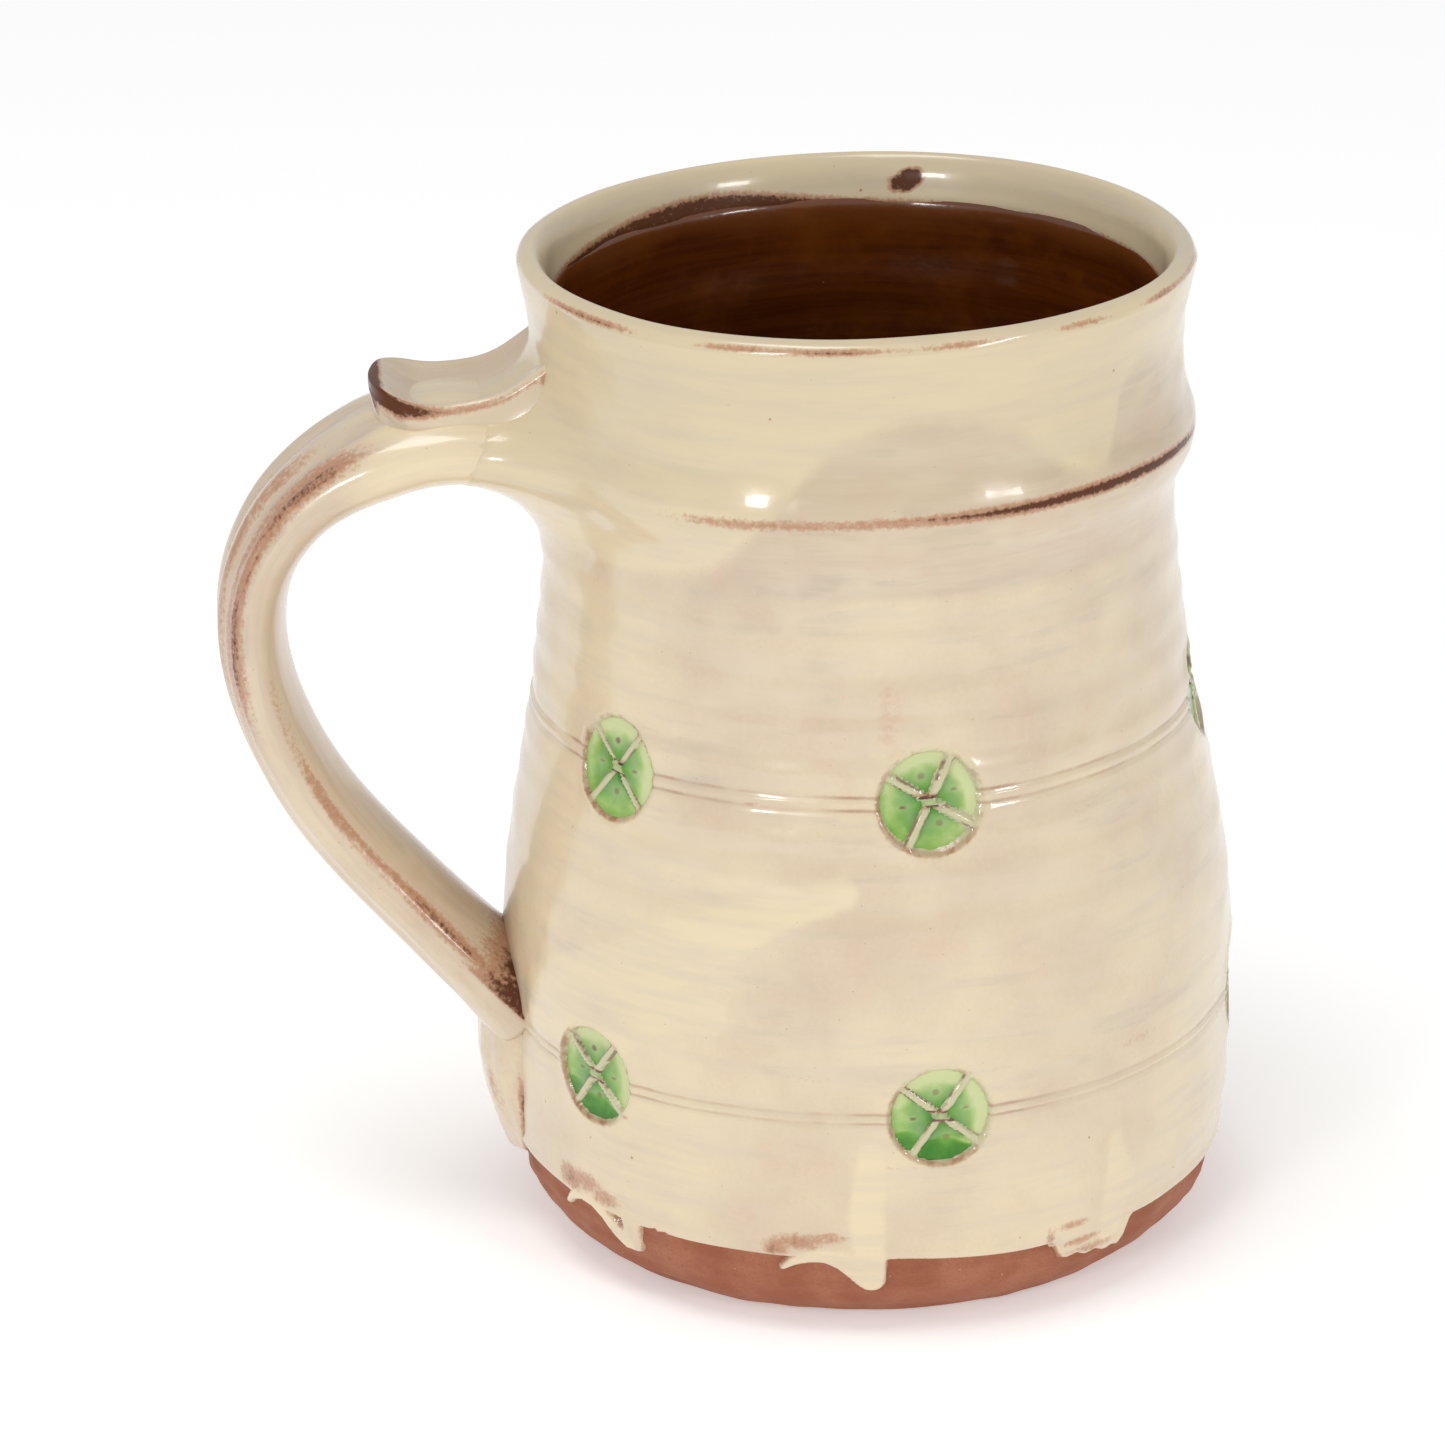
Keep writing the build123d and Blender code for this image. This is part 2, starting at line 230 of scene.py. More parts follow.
# ---- node materials
class Shader:
    """Short calls for building one node material."""

    def __init__(self, name):
        self.material = bpy.data.materials.new(name)
        self.material.use_nodes = True
        self.nodes = self.material.node_tree.nodes
        self.links = self.material.node_tree.links
        self.surface = next(n for n in self.nodes if n.type == "BSDF_PRINCIPLED")

    def put(self, socket, value):
        """Link a socket's value, or set a plain number or colour on it."""
        if isinstance(value, bpy.types.NodeSocket):
            self.links.new(value, socket)
        elif isinstance(value, tuple) and len(value) == 3 and socket.type == "RGBA":
            socket.default_value = (*value, 1.0)
        else:
            socket.default_value = value

    def node(self, kind, **inputs):
        """A new node with its inputs linked or set."""
        node = self.nodes.new("ShaderNode" + kind)
        for label, value in inputs.items():
            self.put(node.inputs[label], value)
        return node

    def set(self, label, value):
        """Give the surface's input of that name a value."""
        self.put(self.surface.inputs[label], value)

    def math(self, operation, a, b=0.0, clamp=False):
        node = self.node("Math")
        node.operation, node.use_clamp = operation, clamp
        for socket, value in zip(node.inputs, (a, b)):
            self.put(socket, value)
        return node.outputs[0]

    def add(self, a, b, clamp=False):
        return self.math("ADD", a, b, clamp=clamp)

    def times(self, a, b):
        return self.math("MULTIPLY", a, b)

    def sway(self, noise, size):
        """Noise moved to swing about 0, and scaled."""
        return self.times(self.add(noise, -0.5), size)

    def distance(self, a, b):
        """How far a value is from a plain number."""
        return self.math("ABSOLUTE", self.add(a, -b))

    def step(self, low, high, value):
        """Smooth step from low to high, which may be given in falling order."""
        node = self.node("MapRange", Value=value)
        node.interpolation_type = "SMOOTHSTEP"
        flip = low > high
        node.inputs["From Min"].default_value, node.inputs["From Max"].default_value = sorted((low, high))
        node.inputs["To Min"].default_value, node.inputs["To Max"].default_value = (1, 0) if flip else (0, 1)
        return node.outputs["Result"]

    def mix(self, share, first, second):
        node = self.node("Mix")
        node.data_type = "RGBA"
        self.put(node.inputs["Factor"], share)
        colours = [s for s in node.inputs if s.type == "RGBA"]
        self.put(colours[0], first)
        self.put(colours[1], second)
        return next(s for s in node.outputs if s.type == "RGBA")

    def value(self, label, output="Fac"):
        node = self.node("Attribute")
        node.attribute_name = label
        return node.outputs[output]

    def vector(self, label):
        return self.value(label, "Vector")

    def split(self, vector):
        return self.node("SeparateXYZ", Vector=vector).outputs

    def place(self, scale=(1.0, 1.0, 1.0)):
        """The point in millimetres, scaled along its axes."""
        point = self.node("TexCoord").outputs["Object"]
        return self.node("Mapping", Vector=point, Scale=tuple(s / MM for s in scale)).outputs["Vector"]

    def noise(self, vector, scale, detail=3.0, roughness=0.55):
        node = self.node("TexNoise", Vector=vector, Scale=scale, Detail=detail, Roughness=roughness)
        return node.outputs["Fac"]

    def specks(self, vector, scale, size):
        """1 inside small round specks, scattered one to a cell."""
        node = self.node("TexVoronoi", Vector=vector, Scale=scale)
        chosen = self.node("SeparateColor", Color=node.outputs["Color"])
        near = self.step(size, 0.5 * size, node.outputs["Distance"])
        return self.times(near, self.step(0.80, 0.84, chosen.outputs[0]))

    def bump(self, height, distance, strength=1.0, normal=None):
        under = {} if normal is None else {"Normal": normal}
        node = self.node("Bump", Height=height, Distance=distance * MM, Strength=strength, **under)
        return node.outputs["Normal"]


# colours, linear red, green and blue
THICK_SLIP = (0.79, 0.66, 0.44)
MIDDLE_SLIP = (0.70, 0.585, 0.43)
THIN_SLIP = (0.62, 0.49, 0.36)
GREY_SLIP = (0.47, 0.385, 0.285)
PINK_SLIP = (0.60, 0.38, 0.27)
NECK_SLIP = (0.52, 0.42, 0.25)
BREAK_BROWN = (0.080, 0.019, 0.006)
FAINT_BROWN = (0.42, 0.155, 0.062)
LINE_BROWN = (0.33, 0.13, 0.055)
RIB_BROWN = (0.15, 0.048, 0.020)
STAMP_BLEED = (0.50, 0.56, 0.24)
STAMP_RIB_SLIP = (0.52, 0.51, 0.30)
STAMP_CENTRE = (0.34, 0.46, 0.18)
CLAY_DARK, CLAY_LIGHT = (0.32, 0.098, 0.043), (0.39, 0.145, 0.072)
CLAY_GRAIN, CLAY_PALE_GROG, CLAY_DARK_GROG = (0.22, 0.065, 0.035), (0.62, 0.42, 0.28), (0.05, 0.02, 0.012)
LINING_DARK, LINING_RING = (0.062, 0.0115, 0.0010), (0.100, 0.022, 0.0018)
LINING_CLOUD, LINING_TOP, LINING_SPECK = (0.150, 0.038, 0.003), (0.17, 0.050, 0.012), (0.20, 0.09, 0.03)
GREEN_PALE, GREEN_THIN, GREEN_MIDDLE = (0.60, 0.66, 0.33), (0.31, 0.49, 0.125), (0.125, 0.345, 0.032)
GREEN_DEEP, GREEN_MIST, GREEN_PIP = (0.030, 0.19, 0.005), (0.42, 0.50, 0.33), (0.20, 0.085, 0.04)


def glaze_gloss(shader, roughness):
    """Clear glaze over slip: a sharp coat over a slightly softer base."""
    shader.set("Roughness", roughness)
    shader.set("Coat Weight", 0.5)
    shader.set("Coat Roughness", 0.06)
    shader.set("IOR", 1.5)


def slip_material(name, stamped):
    """Cream slip under clear glaze. Attributes thick, worn, pink and flow steer it."""
    s = Shader(name)
    point = s.place()
    flow = s.vector("flow")
    cloud = s.noise(point, 0.045, 3.0)
    streak = s.noise(flow, 1.0, 4.0, 0.6)
    fine = s.noise(point, 1.6, 4.0, 0.65)
    depth = s.add(s.value("thick"), s.sway(fine, 0.8))
    thick = s.step(-1.1, 0.9, s.add(depth, s.sway(cloud, 3.0)))
    brushed = s.add(s.sway(streak, 1.7), s.sway(cloud, 1.1))
    thin = s.mix(s.step(-0.30, 0.34, brushed), THIN_SLIP, MIDDLE_SLIP)
    grey = s.times(s.step(0.50, 0.66, streak), s.step(0.44, 0.58, s.noise(point, 0.07, 3.0)))
    thin = s.mix(s.times(grey, 0.50), thin, GREY_SLIP)
    full = s.mix(s.step(0.35, 0.75, streak), THICK_SLIP, MIDDLE_SLIP)
    colour = s.mix(thick, thin, full)
    if stamped:
        neck = s.step(98.0, 112.0, s.split(s.vector("wall"))[1])
        colour = s.mix(s.times(neck, 0.34), colour, NECK_SLIP)
    warm = s.times(s.step(0.50, 0.72, s.noise(point, 0.11, 4.0)), s.add(0.26, s.times(thick, -0.2)))
    colour = s.mix(warm, colour, PINK_SLIP)
    pink = s.times(s.value("pink"), s.step(0.30, 0.70, s.noise(point, 0.9, 5.0, 0.7)))
    colour = s.mix(s.times(pink, 0.75), colour, PINK_SLIP)

    ragged = s.add(s.value("worn"), s.sway(fine, 0.9))
    if not stamped:
        ragged = s.add(ragged, s.sway(streak, 0.9))
    faint = s.step(0.25, 0.70, ragged)
    strong = s.step(0.70, 1.05, ragged)
    colour = s.mix(s.times(faint, 0.72), colour, FAINT_BROWN)
    colour = s.mix(s.times(strong, 0.92), colour, BREAK_BROWN)
    if stamped:
        colour = stamp_edges(s, colour, fine)
        colour = incised_lines(s, colour, fine)
    dark_specks = s.specks(point, 0.21, 0.055)
    colour = s.mix(s.times(dark_specks, 0.75), colour, FAINT_BROWN)
    colour = s.mix(s.times(s.specks(s.place((1, 1, 1.3)), 0.62, 0.10), 0.38), colour, FAINT_BROWN)
    s.set("Base Color", colour)
    glaze_gloss(s, s.add(0.20, s.times(streak, 0.10)))
    s.set("Coat Weight", s.add(0.5, s.times(strong, -0.44)))
    s.set("Specular IOR Level", s.add(0.5, s.times(strong, -0.38)))
    normal = s.bump(s.noise(point, 0.16, 2.0), 0.45, 0.30)
    normal = s.bump(streak, 0.06, 0.45, normal)
    s.set("Normal", normal)
    return s.material


def stamp_edges(s, colour, fine):
    """Brown break lines round a stamped disc and along its ribs, over a green bleed."""
    across, up, near = s.split(s.vector("stamp"))
    shake = s.sway(fine, 0.5)
    reach = s.add(s.math("SQRT", s.add(s.times(across, across), s.times(up, up))), shake)
    patchy = s.noise(s.place(), 0.5, 2.0)
    shown = s.step(0.5, 0.9, near)
    bleed = s.times(s.times(s.step(7.4, 6.2, reach), shown), 0.30)
    colour = s.mix(bleed, colour, STAMP_BLEED)
    disc = s.times(s.step(6.5, 6.2, reach), shown)
    colour = s.mix(s.times(disc, 0.62), colour, STAMP_RIB_SLIP)
    for angle in STAMP_RIB_ANGLES:
        a = radians(angle)
        off = s.math("ABSOLUTE", s.add(s.times(up, cos(a)), s.times(across, -sin(a))))
        line = s.step(0.26, 0.06, s.distance(s.add(off, s.times(shake, 0.5)), 0.5 * STAMP_RIB))
        line = s.times(s.times(line, disc), s.times(s.step(0.44, 0.60, patchy), 0.72))
        colour = s.mix(line, colour, RIB_BROWN)
    middle = s.times(s.step(2.3, 1.5, s.math("ABSOLUTE", across)), disc)
    band = s.times(s.step(0.50, 0.32, s.math("ABSOLUTE", up)), middle)
    colour = s.mix(s.times(band, 0.8), colour, STAMP_CENTRE)
    dash = s.step(0.24, 0.10, s.distance(s.math("ABSOLUTE", up), 0.60))
    dash = s.times(s.times(dash, middle), s.step(0.42, 0.5, s.noise(s.place(), 0.9, 1.0)))
    colour = s.mix(dash, colour, BREAK_BROWN)
    ring = s.step(0.55, 0.10, s.distance(reach, STAMP_RADIUS + 0.25))
    side = s.step(2.5, -4.5, s.add(s.times(across, 0.8), up))
    strength = s.add(s.times(s.step(0.45, 0.65, patchy), 0.38), s.times(side, 0.50), clamp=True)
    return s.mix(s.times(s.times(ring, shown), strength), colour, LINE_BROWN)


def incised_lines(s, colour, fine):
    """Two fine brown lines at each pair, broken up along their run."""
    height = s.split(s.vector("wall"))[1]
    for centre, half_gap in zip(LINE_HEIGHTS, LINE_HALF_GAPS):
        for side in (-half_gap, half_gap):
            off = s.distance(s.add(height, s.sway(fine, 0.25)), centre + side)
            patchy = s.step(0.40, 0.66, s.noise(s.place(), 0.16, 3.0))
            close = s.times(s.split(s.vector("stamp"))[2], 0.34)
            share = s.add(s.add(0.03, s.times(patchy, 0.34 * half_gap)), close, clamp=True)
            colour = s.mix(s.times(s.step(0.34, 0.06, off), share), colour, LINE_BROWN)
    return colour


def clay_material():
    """Bare red earthenware with fine grog and turning marks."""
    s = Shader("red_clay")
    point = s.place()
    grain = s.noise(point, 2.6, 5.0, 0.7)
    cloud = s.noise(point, 0.12, 4.0)
    ring = s.noise(s.place((0.08, 0.08, 1.6)), 1.0, 3.0)
    colour = s.mix(s.step(0.35, 0.65, cloud), CLAY_DARK, CLAY_LIGHT)
    colour = s.mix(s.times(s.step(0.45, 0.72, grain), 0.5), colour, CLAY_GRAIN)
    colour = s.mix(s.times(s.specks(point, 0.9, 0.14), 0.6), colour, CLAY_PALE_GROG)
    colour = s.mix(s.times(s.specks(s.place((1.1, 1, 1)), 0.55, 0.08), 0.7), colour, CLAY_DARK_GROG)
    s.set("Base Color", colour)
    s.set("Roughness", 0.72)
    normal = s.bump(grain, 0.16, 0.5)
    s.set("Normal", s.bump(ring, 0.25, 0.5, normal))
    return s.material


def lining_material():
    """Dark amber-brown gloss glaze, thinner and redder on the throwing rings."""
    s = Shader("brown_glaze")
    point = s.place()
    ring = s.noise(s.place((0.05, 0.05, 1.0)), 0.8, 3.0)
    cloud = s.noise(point, 0.09, 4.0)
    colour = s.mix(s.step(0.30, 0.72, ring), LINING_DARK, LINING_RING)
    colour = s.mix(s.times(s.step(0.50, 0.72, cloud), 0.6), colour, LINING_CLOUD)
    colour = s.mix(s.value("top"), colour, LINING_TOP)
    colour = s.mix(s.times(s.specks(point, 0.30, 0.07), 0.6), colour, LINING_SPECK)
    s.set("Base Color", colour)
    glaze_gloss(s, s.add(0.16, s.times(cloud, 0.08)))
    s.set("Normal", s.bump(s.noise(point, 0.2, 3.0), 0.5, 0.35))
    return s.material


def green_material():
    """Copper green glaze, pooled dark in the low side of each wedge and pale at its upper edge."""
    s = Shader("green_glaze")
    point = s.place()
    depth = s.add(s.value("pool"), s.sway(s.noise(point, 0.55, 4.0), 0.5), clamp=True)
    colour = s.mix(s.step(0.02, 0.48, depth), GREEN_PALE, GREEN_THIN)
    colour = s.mix(s.step(0.34, 0.76, depth), colour, GREEN_MIDDLE)
    colour = s.mix(s.step(0.70, 1.05, depth), colour, GREEN_DEEP)
    colour = s.mix(s.times(s.value("mist"), 0.36), colour, GREEN_MIST)
    colour = s.mix(s.value("pip"), colour, GREEN_PIP)
    s.set("Base Color", colour)
    glaze_gloss(s, s.add(0.10, s.times(depth, 0.05)))
    s.set("Specular IOR Level", 0.3)
    s.set("Coat Weight", 0.3)
    s.set("Normal", s.bump(s.noise(point, 0.8, 3.0), 0.12, 0.4))
    return s.material


SLIP = slip_material("cream_slip", stamped=True)
SLIP_PLAIN = slip_material("cream_slip_handle", stamped=False)
CLAY = clay_material()
LINING = lining_material()
GREEN = green_material()


# ---- stamps
def lobe_inset(across, up, turn):
    """How far a point of a stamp lies inside one of its four wedges. It is negative on the ribs."""
    inset = STAMP_RADIUS - np.hypot(across, up)
    for angle in STAMP_RIB_ANGLES:
        a = radians(angle + turn)
        inset = np.minimum(inset, np.abs(up * cos(a) - across * sin(a)) - 0.5 * STAMP_RIB)
    return inset


def stamp_offset(azimuth, height, centre, line):
    """Millimetres across and up from a stamp's centre."""
    return np.radians(turn_gap(azimuth, centre)) * wall_radius(line), height - line


def stamp_places():
    """Row name, number, azimuth, height and twist of every stamp."""
    for row, height in zip(("lower", "upper"), LINE_HEIGHTS):
        for number, (azimuth, *turns) in enumerate(COLUMNS, start=1):
            yield row, number, azimuth, height, turns[row == "upper"]


# ---- slip coat
DRIPS = (  # azimuth, lowest height, half width in millimetres
    (-46.9, 6.4, 1.5), (-5.8, 5.8, 1.9), (97.0, 6.6, 1.6), (171.0, 5.6, 1.8), (-122.0, 7.0, 1.5),
)
ROPES = (  # rolled slip that swung sideways as it ran: azimuth, height, radius along it
    (
        (-62.8, 9.6, 0.5), (-61.0, 11.0, 0.75), (-58.5, 11.9, 0.9), (-55.5, 11.8, 1.0), (-52.8, 10.7, 1.1),
        (-50.4, 9.0, 1.3), (-48.4, 7.9, 1.45),
    ),
    (
        (-19.8, 9.3, 0.5), (-18.0, 10.4, 0.8), (-15.6, 11.1, 1.0), (-12.8, 11.3, 1.2), (-10.2, 10.6, 1.5),
        (-8.0, 9.4, 1.8), (-6.4, 8.2, 1.95),
    ),
    ((82.0, 9.6, 0.5), (84.5, 10.6, 0.8), (88.0, 10.8, 1.0), (92.0, 9.9, 1.3), (95.0, 8.6, 1.6)),
)
SMEARS = (  # clay rubbed through the slip: azimuth, height, size across and up, share
    (-60.5, 14.0, 3.4, 2.3, 0.80), (-56.5, 14.4, 4.2, 2.0, 0.70), (-52.0, 13.2, 3.6, 1.6, 0.66),
    (-20.8, 11.8, 2.2, 2.4, 0.80), (-17.2, 13.3, 4.4, 1.6, 0.72), (-12.6, 14.0, 4.0, 1.2, 0.60),
    (23.2, 10.2, 0.8, 2.6, 0.80), (27.5, 11.9, 3.4, 0.9, 0.62), (29.5, 9.2, 4.4, 0.8, 0.66),
    (31.0, 7.4, 6.0, 1.2, 0.62), (24.5, 7.2, 1.0, 0.8, 0.72), (84.0, 13.0, 3.4, 1.0, 0.70),
    (148.0, 11.0, 4.4, 0.9, 0.60), (-46.0, 26.5, 1.3, 0.4, 0.55), (-24.5, 70.2, 1.2, 0.35, 0.62),
    (40.0, 35.0, 6.0, 1.3, 0.36), (-1.0, 24.0, 4.0, 0.5, 0.36), (-15.0, 36.0, 8.0, 1.0, 0.30),
)
PATCHES = (  # slip that reaches lower on the foot: azimuth, lowest height, half width
    (32.0, 6.5, 5.8), (150.0, 7.6, 5.6), (-155.0, 7.8, 4.6),
)
THROWING_RINGS = (  # height, how proud of the wall
    (17.5, 0.10), (38.0, 0.08), (47.5, 0.10), (54.9, 0.18), (61.7, 0.18), (66.5, 0.18),
    (74.5, 0.24), (80.0, 0.26), (84.5, 0.22), (91.0, 0.24), (115.5, 0.12), (120.0, 0.10),
)
RUNS = (  # thick cream runs over the thin slip: azimuth, height, radius along each
    ((-66.0, 36.0, 6.0), (-43.0, 47.4, 4.6), (-20.0, 57.6, 3.0), (-9.5, 60.0, 2.4)),
    ((-58.0, 33.0, 5.0), (-40.0, 42.5, 3.0), (-30.0, 42.7, 2.6)),
    ((-5.6, 26.0, 1.8), (-6.4, 17.0, 2.6), (-5.8, 8.0, 2.2)),
    ((35.0, 22.0, 1.6), (36.5, 15.0, 3.0), (35.5, 9.0, 2.0)),
    ((70.0, 64.0, 4.0), (104.0, 52.0, 3.0), (118.0, 47.0, 2.6)),
    ((140.0, 40.0, 5.0), (168.0, 52.0, 3.4), (181.0, 56.0, 2.6)),
    ((97.0, 34.0, 2.0), (97.0, 9.0, 2.4)),
)
THICK_EDGE = (  # lower edge of the thick slip on neck and shoulder: azimuth, height
    (-180, 97), (-160, 92), (-140, 84), (-120, 78), (-100, 74), (-70, 78), (-50, 84), (-38, 93), (-28, 101),
    (-21, 107), (-15, 112.5), (-9, 116.4), (-2, 118.6), (8, 119.6), (16, 118.8), (22, 116.8), (27, 114.2),
    (32, 111.0), (36.5, 109.4), (40, 109.7), (43, 112.6), (45.4, 118.6), (50, 121.4), (55, 121.8), (70, 118),
    (84, 106), (100, 99), (118, 106), (130, 117), (140, 119), (152, 112), (163, 103), (180, 97),
)


def around(azimuth, centre):
    """Distance along the wall from a centre azimuth, in millimetres near the belly."""
    return np.radians(turn_gap(azimuth, centre)) * BELLY_RADIUS


def capsule_depth(azimuth, height, path):
    """How deep a point lies inside a tapering run that follows a path. It is negative outside."""
    depth = np.full(np.broadcast(azimuth, height).shape, -20.0)
    for (az0, z0, r0), (az1, z1, r1) in zip(path, path[1:]):
        along, rise = around(az1, az0), z1 - z0
        x, y = around(azimuth, az0), height - z0
        t = np.clip((x * along + y * rise) / (along**2 + rise**2), 0.0, 1.0)
        depth = np.maximum(depth, r0 + t * (r1 - r0) - np.hypot(x - t * along, y - t * rise))
    return depth


def plain_edge(azimuth):
    """Height of the slip's lower edge between its drips."""
    edge = 10.55 - 0.9 * np.sin(np.radians(azimuth + 8.0)) + 0.20 * ripple(azimuth, 0.0, 26.0, 5)
    for centre, low, half in PATCHES:
        side = around(azimuth, centre)
        low = low - 0.16 * side + 0.25 * np.sin(1.9 * side)
        edge = edge - (edge - low) * smoothstep(half + 0.9, half - 0.9, np.abs(side))
    return edge


def cover_depth(azimuth, height):
    """How far a point is inside the slipped area, in millimetres. It is negative on bare clay."""
    depth = height - plain_edge(azimuth)
    for path in ROPES:
        depth = np.maximum(depth, capsule_depth(azimuth, height, path))
    for centre, low, half in DRIPS:
        drip = ((centre, 14.0, half + 0.5), (centre, low + half, half))
        depth = np.maximum(depth, capsule_depth(azimuth, height, drip))
    return depth


def lowest_slip(azimuth):
    """Height just under the lowest slip at an azimuth."""
    low = plain_edge(azimuth)
    for path in ROPES + tuple(((az, z + r, r),) for az, z, r in DRIPS):
        for centre, height, reach in path:
            beyond = np.maximum(np.abs(around(azimuth, centre)) - reach - 1.2, 0.0)
            low = np.minimum(low, height - reach + 0.9 * beyond)
    return np.minimum(low, 9.2) - 0.8


def thick_depth(azimuth, height):
    """How far a point is inside the thick creamy slip, in millimetres, within 6 either way."""
    edge = np.interp(azimuth, [a for a, _ in THICK_EDGE], [h for _, h in THICK_EDGE])
    depth = 0.62 * (height - edge) * smoothstep(95.0, 105.5, height)
    for path in RUNS:
        depth = np.maximum(depth, capsule_depth(azimuth, height, path))
    for path in ROPES:
        depth = np.maximum(depth, capsule_depth(azimuth, height, path) + 0.4)
    return np.clip(depth, -6.0, 6.0)


def root_fillet(azimuth, height):
    """Clay smoothed from the neck on to the strap's root, with a longer sweep underneath."""
    _, width, thickness = STRAP_SECTIONS[0]
    half_width, half_height = 0.5 * width - ROOT_INSET, 0.5 * thickness - ROOT_INSET
    turn = np.clip(np.radians(turn_gap(azimuth, ROOT_AZIMUTH)), -1.2, 1.2)
    rise = np.zeros(np.broadcast(azimuth, height).shape)
    for _ in range(7):
        side = (ROOT_RADIUS + rise) * np.sin(turn)
        up = height - ROOT_HEIGHT - ROOT_CLIMB * rise
        below = smoothstep(2.0, -8.0, up)
        sweep = 9.0 + 3.0 * below
        reach = np.abs(side / half_width) ** STRAP_POWER + np.abs(up / half_height) ** STRAP_POWER
        reach = reach ** (1 / STRAP_POWER)
        gap = np.clip(np.hypot(side, up) * (1.0 - 1.0 / (reach + 1e-6)), 0.0, sweep)
        target = np.minimum(sweep - np.sqrt(sweep**2 - (sweep - gap) ** 2), 8.1 + 2.7 * below)
        rise = 0.5 * (rise + target)
    return rise


def wall_relief(azimuth, height):
    """Outward relief of the slipped wall, in millimetres: rings, lines, thick slip and stamps."""
    tilt = 0.7 * np.sin(np.radians(azimuth + 40.0))
    relief = 0.16 * ripple(azimuth, height, 34.0, 11) + 0.05 * ripple(azimuth, height, 9.0, 12)
    relief += 0.13 * np.sin(np.radians(2 * azimuth + 70.0)) * smoothstep(20.0, 60.0, height)
    for ring, size in THROWING_RINGS:
        relief += size * bump(height + tilt, ring, 1.5)
    for centre, half_gap in zip(LINE_HEIGHTS, LINE_HALF_GAPS):
        for side in (-half_gap, half_gap):
            relief -= 0.26 * bump(height, centre + side, 0.30)
        relief += 0.14 * bump(height, centre, 0.45)
    relief += 0.16 * smoothstep(-0.4, 0.9, thick_depth(azimuth, height))
    relief += root_fillet(azimuth, height)
    for _, _, centre, line, turn in stamp_places():
        across, up = stamp_offset(azimuth, height, centre, line)
        near = (np.abs(across) < 10.0) & (np.abs(up) < 10.0)
        inset = lobe_inset(across, up, turn)
        disc = STAMP_RADIUS - np.hypot(across, up)
        cut = -STAMP_DEPTH * smoothstep(-0.10, 0.32, inset) - 0.16 * smoothstep(-0.3, 0.4, disc)
        cut += 0.16 * bump(disc, -0.75, 0.6)
        relief = np.where(near, relief + cut, relief)
    return relief


def dense_steps(low, high, spans, coarse):
    """Rising values from low to high, with a finer step of its own inside each (start, end, step) span."""
    values = [low]
    while values[-1] < high:
        steps = [step for start, end, step in spans if start - step < values[-1] < end]
        values.append(values[-1] + min(steps, default=coarse))
    values[-1] = high
    return np.array(values)


def slip_coat():
    """The slip over the outside wall, the ridge, the rim and the inside lip."""
    stamp_angle = 8.3
    spans = [(azimuth - stamp_angle, azimuth + stamp_angle, 0.5) for azimuth, *_ in COLUMNS]
    spans += [(path[0][0] - 2.0, path[-1][0] + 5.0, 0.62) for path in ROPES]
    spans += [(22.0, 41.0, 0.8), (-122.0, -60.0, 1.0)]
    azimuth = dense_steps(-180.0, 180.0, spans, 2.0)[:-1]
    skirt_top = 16.0
    skirt = np.linspace(0.0, 1.0, 36) ** 1.1
    fine_rows = [(line - 6.8, line + 6.8, 0.42) for line in LINE_HEIGHTS]
    fine_rows += [(92.0, 112.0, 0.6), (125.5, 129.0, 0.45)]
    heights = dense_steps(skirt_top, WALL_HEIGHTS[-1], fine_rows, 1.15)[1:]

    edge = lowest_slip(azimuth)[None, :]
    low = edge + skirt[:, None] * (skirt_top - edge)
    height = np.vstack([low, np.repeat(heights[:, None], len(azimuth), axis=1)])
    angle = repeated(azimuth, height)
    relief = wall_relief(angle, height)
    depth = cover_depth(angle, height)
    relief += 0.24 * bump(depth, 0.8, 0.8) - 1.1 * (1 - smoothstep(-0.45, 0.35, depth))
    radius = wall_radius(height) + relief

    over = cubic_through(RIM, np.linspace(0.0, 1.0, 28))
    soft = 0.10 * ripple(azimuth, 0.0, 22.0, 31)[None, :]
    radius = np.vstack([radius, over[:, :1] + soft])
    height = np.vstack([height, np.repeat(over[:, 1:], len(azimuth), axis=1)])
    angle = repeated(azimuth, height)
    nominal = height.copy()
    sway = 0.34 * np.sin(np.radians(angle + 118.0)) + 0.16 * np.sin(np.radians(3 * angle + 20.0))
    height = height + (sway - 0.42) * smoothstep(108.0, 127.0, height)

    thick = thick_depth(angle, nominal)
    thick[-len(over):] = 1.5
    inside = np.zeros_like(nominal)
    inside[-len(over):] = np.linspace(0.0, 1.0, len(over))[:, None]
    edge_depth = np.where(nominal < 20.0, cover_depth(angle, nominal), 9.0)
    worn = worn_edges(angle, nominal, inside, edge_depth)
    pink = 0.9 * bump(turn_gap(angle, -1.4), 0.0, 1.9)
    pink = pink * smoothstep(76.5, 79.0, nominal) * smoothstep(88.0, 84.0, nominal)
    points = round_the_mug(radius, angle, height)
    wall = np.stack([angle, np.where(inside > 0, 200.0, nominal), inside], axis=-1)
    vectors = {"stamp": stamp_coordinates(angle, nominal), "wall": wall, "flow": points * (0.05, 0.05, 0.42)}
    grid_object(
        "slip_coat", points, SLIP, "cream_slip", ["outer_slip_coat"],
        values={"thick": thick, "worn": worn, "pink": pink}, vectors=vectors,
    )


